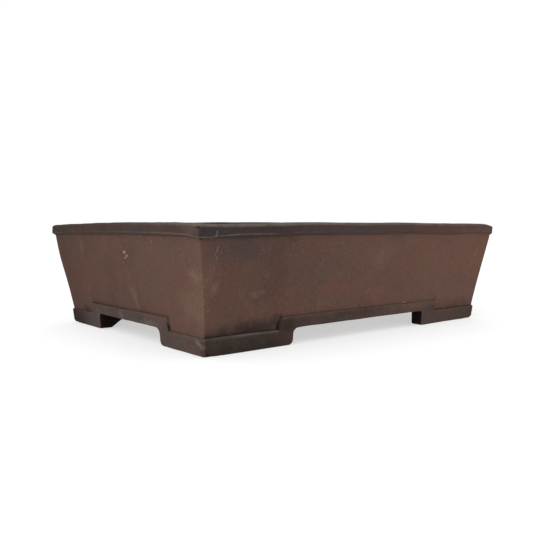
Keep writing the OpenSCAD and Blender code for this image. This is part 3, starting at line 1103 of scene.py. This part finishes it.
def clay(name, colours, marks, roughness, gloss, grain, smoky):
    """A fired clay. grain is the coarseness of its surface and smoky the depth of its kiln marks."""
    g = Graph(name)
    colours = {label: tone(*rgb) for label, rgb in colours.items()}

    def paint(share, label):
        """Lays the colour over the clay so far."""
        nonlocal colour
        colour = g.mix(share, colour, colours[label])

    # Clouds of colour from the firing, the bevel under the rim made darker as painted shade, and the
    # larger marks, among them painted shade on the walls above the feet and under the rim
    clouds = g.noise(34 * MM, 4, 0.6, 0.4)
    colour = g.mix(g.span(clouds, 0.36, 0.64), colours["olive"], colours["red"])
    sandy = g.noise(17 * MM, 4, 0.65, 0.6)
    paint(g.span(sandy, 0.52, 0.8, 0, 0.3), "sand")
    smoke = g.noise(70 * MM, 4, 0.6, 0.5)
    paint(g.span(smoke, 0.5, 0.74, 0, smoky), "smoke")
    colour = g.mix(g.attribute("raw"), colour, tone(*RAW))
    broad, near = g.ragged(16 * MM, 4 * MM), g.ragged(4 * MM, 0.5 * MM)
    streaks = g.span(g.noise(2.5 * MM, 3, 0.6, stretch=(1, 1, 0.3)), 0.3, 0.62, 0.65, 1)
    for label in ("rust", "moss", "ash", "smoke", "sand"):
        if label in marks:
            spread = g.marks(broad, marks[label], 0.9)
            paint(spread if label == "smoke" else g.times(spread, streaks), label)

    # Mottling, times the brightness along each side, which is partly the clay's tone and partly
    # painted light and shade, and the grains of grog and iron in the clay
    fine, coarse = g.noise(1.5 * MM, 3, 0.7), g.noise(5 * MM, 4, 0.65)
    tint = g.math("ADD", g.span(fine, 0.25, 0.75, 0.82, 1.18), g.span(coarse, 0.3, 0.7, -0.05, 0.05))
    tint = g.grey(g.times(tint, g.attribute("tint")))
    colour = g.mix(1.0, colour, tint, "MULTIPLY")
    wear = g.attribute("wear")
    grog = g.specks(3.2 * MM, 0.8 * MM, 0.3)
    paint(g.times(grog, g.math("ADD", g.times(wear, 1.7), 0.42 * grain)), "worn")
    paint(g.times(g.times(grog, wear), 0.8), "chalk" if "chalk" in colours else "worn")
    iron = g.specks(6.5 * MM, 0.8 * MM, 0.25)
    paint(g.times(iron, 0.25), "crease")

    # Wear and painted highlights along edges, dirt and painted shade in creases, the smaller marks, and
    # painted shade on hidden faces
    broken = g.span(g.noise(12 * MM, 3, 0.6), 0.3, 0.6, 0.5, 1)
    paint(g.times(g.times(wear, broken), 0.42), "worn")
    line = g.times(g.attribute("arris"), g.span(g.noise(22 * MM, 3, 0.6), 0.35, 0.6, 0.2, 0.7))
    paint(line, "worn")
    # Dirt and painted shade along the creases
    crease = g.times(g.attribute("crease"), g.span(g.noise(9 * MM, 2), 0.25, 0.6, 0.5, 1))
    paint(g.times(crease, 0.85), "crease")
    for label, soft in (("crease", 0.7), ("chalk", 0.6), ("scratch", 0.5)):
        if label in marks:
            paint(g.marks(near, marks[label], soft), label)
    # Painted shade on hidden faces
    under = g.attribute("under")
    paint(under, "under")

    low, high = roughness - 0.07, roughness + 0.05
    rough = g.math("ADD", g.span(coarse, 0.3, 0.7, low, high), g.span(fine, 0, 1, -0.05, 0.05))
    rough = g.math("MAXIMUM", rough, under)
    height = g.math("ADD", g.times(fine, 0.5), g.times(coarse, 0.6))
    height = g.math("ADD", height, g.times(grog, 0.35))
    height = g.math("SUBTRACT", height, g.times(iron, 0.3))
    bump = g.add("ShaderNodeBump", {"Strength": 0.6 * grain, "Distance": 0.3 * MM, "Height": height})
    shader = g.add("ShaderNodeBsdfPrincipled", {
        "Base Color": colour, "Roughness": rough, "Normal": bump.outputs[0], "Specular IOR Level": gloss,
    })
    g.add("ShaderNodeOutputMaterial", {"Surface": shader.outputs[0]})
    return g.material


# Colours, marks, roughness, gloss, grain and smoky of each clay
CLAYS = {
    "wall_clay": (WALL, WALL_MARKS, 0.86, 0.1, 1, 0.25),
    "rim_clay": (RIM, RIM_MARKS, 0.72, 0.05, 0.6, 0.4),
    "foot_clay": (BASE, BASE_MARKS, 0.8, 0.06, 0.8, 0.4),
    "band_clay": (BASE, BASE_MARKS, 0.8, 0.06, 0.8, 0.4),
    "floor_clay": (INSIDE, {}, 0.92, 0.1, 1.3, 0.3),
    "seam_clay": (INSIDE, {}, 0.88, 0.1, 0.8, 0.3),
}
MATERIALS = {name: clay(name, *look) for name, look in CLAYS.items()}

for side in SIDES:
    make_wall(side)
    make_rim_bar(side)
    make_band(side)
    make_floor_coil(side)
for corner, (first_side, last_side) in CORNERS.items():
    make_foot(corner, first_side, last_side)
    make_corner_coil(corner, 1 if "right" in corner else -1, 1 if "back" in corner else -1)
make_floor()


# ---- Studio ----

def make_studio_floor():
    size, below = 12.0, -0.1 * MM
    mesh = bpy.data.meshes.new("studio_floor")
    corners = [(-size, -size), (size, -size), (size, size), (-size, size)]
    mesh.from_pydata([(x, y, below) for x, y in corners], [], [(0, 1, 2, 3)])
    g = Graph("studio_floor")
    shader = g.add("ShaderNodeBsdfPrincipled", {
        "Base Color": (0.5, 0.5, 0.5, 1), "Roughness": 0.95, "Specular IOR Level": 0.1,
        "Emission Color": (1, 1, 1, 1), "Emission Strength": 0.55,
    })
    g.add("ShaderNodeOutputMaterial", {"Surface": shader.outputs[0]})
    mesh.materials.append(g.material)
    floor = bpy.data.objects.new("studio_floor", mesh)
    bpy.context.scene.collection.objects.link(floor)


def area_light(name, eye, target, size, power):
    data = bpy.data.lights.new(name, "AREA")
    data.shape = "DISK"
    data.size, data.energy = size, power
    light = bpy.data.objects.new(name, data)
    light.location = eye
    light.rotation_mode = "QUATERNION"
    light.rotation_quaternion = (Vector(target) - Vector(eye)).to_track_quat("-Z", "Y")
    bpy.context.scene.collection.objects.link(light)


def make_world(strength):
    world = bpy.data.worlds.new("studio")
    world.use_nodes = True
    background = world.node_tree.nodes["Background"]
    background.inputs["Color"].default_value = (1, 1, 1, 1)
    background.inputs["Strength"].default_value = strength
    bpy.context.scene.world = world


def make_camera(eye, azimuth, downward, roll, lens):
    """A camera at eye, looking down by an angle in degrees."""
    data = bpy.data.cameras.new("camera")
    data.lens, data.sensor_width = lens, 36
    data.clip_start, data.clip_end = 0.01, 100
    camera = bpy.data.objects.new("camera", data)
    a, e = math.radians(azimuth), math.radians(downward)
    back = Vector((math.sin(a) * math.cos(e), -math.cos(a) * math.cos(e), math.sin(e)))
    turn = (-back).to_track_quat("-Z", "Y").to_matrix() @ Matrix.Rotation(math.radians(roll), 3, "Z")
    camera.location = eye
    camera.rotation_mode = "QUATERNION"
    camera.rotation_quaternion = turn.to_quaternion()
    bpy.context.scene.collection.objects.link(camera)
    bpy.context.scene.camera = camera


make_studio_floor()
make_world(1.0)
area_light("key", (-2.0, -0.9, 1.5), (0, 0, 0.05), 1.2, 14)
make_camera((-0.45576, -0.53969, 0.1037), azimuth=-39.23, downward=3.84, roll=0.13, lens=45.12)
bpy.context.scene.view_settings.view_transform = "Standard"
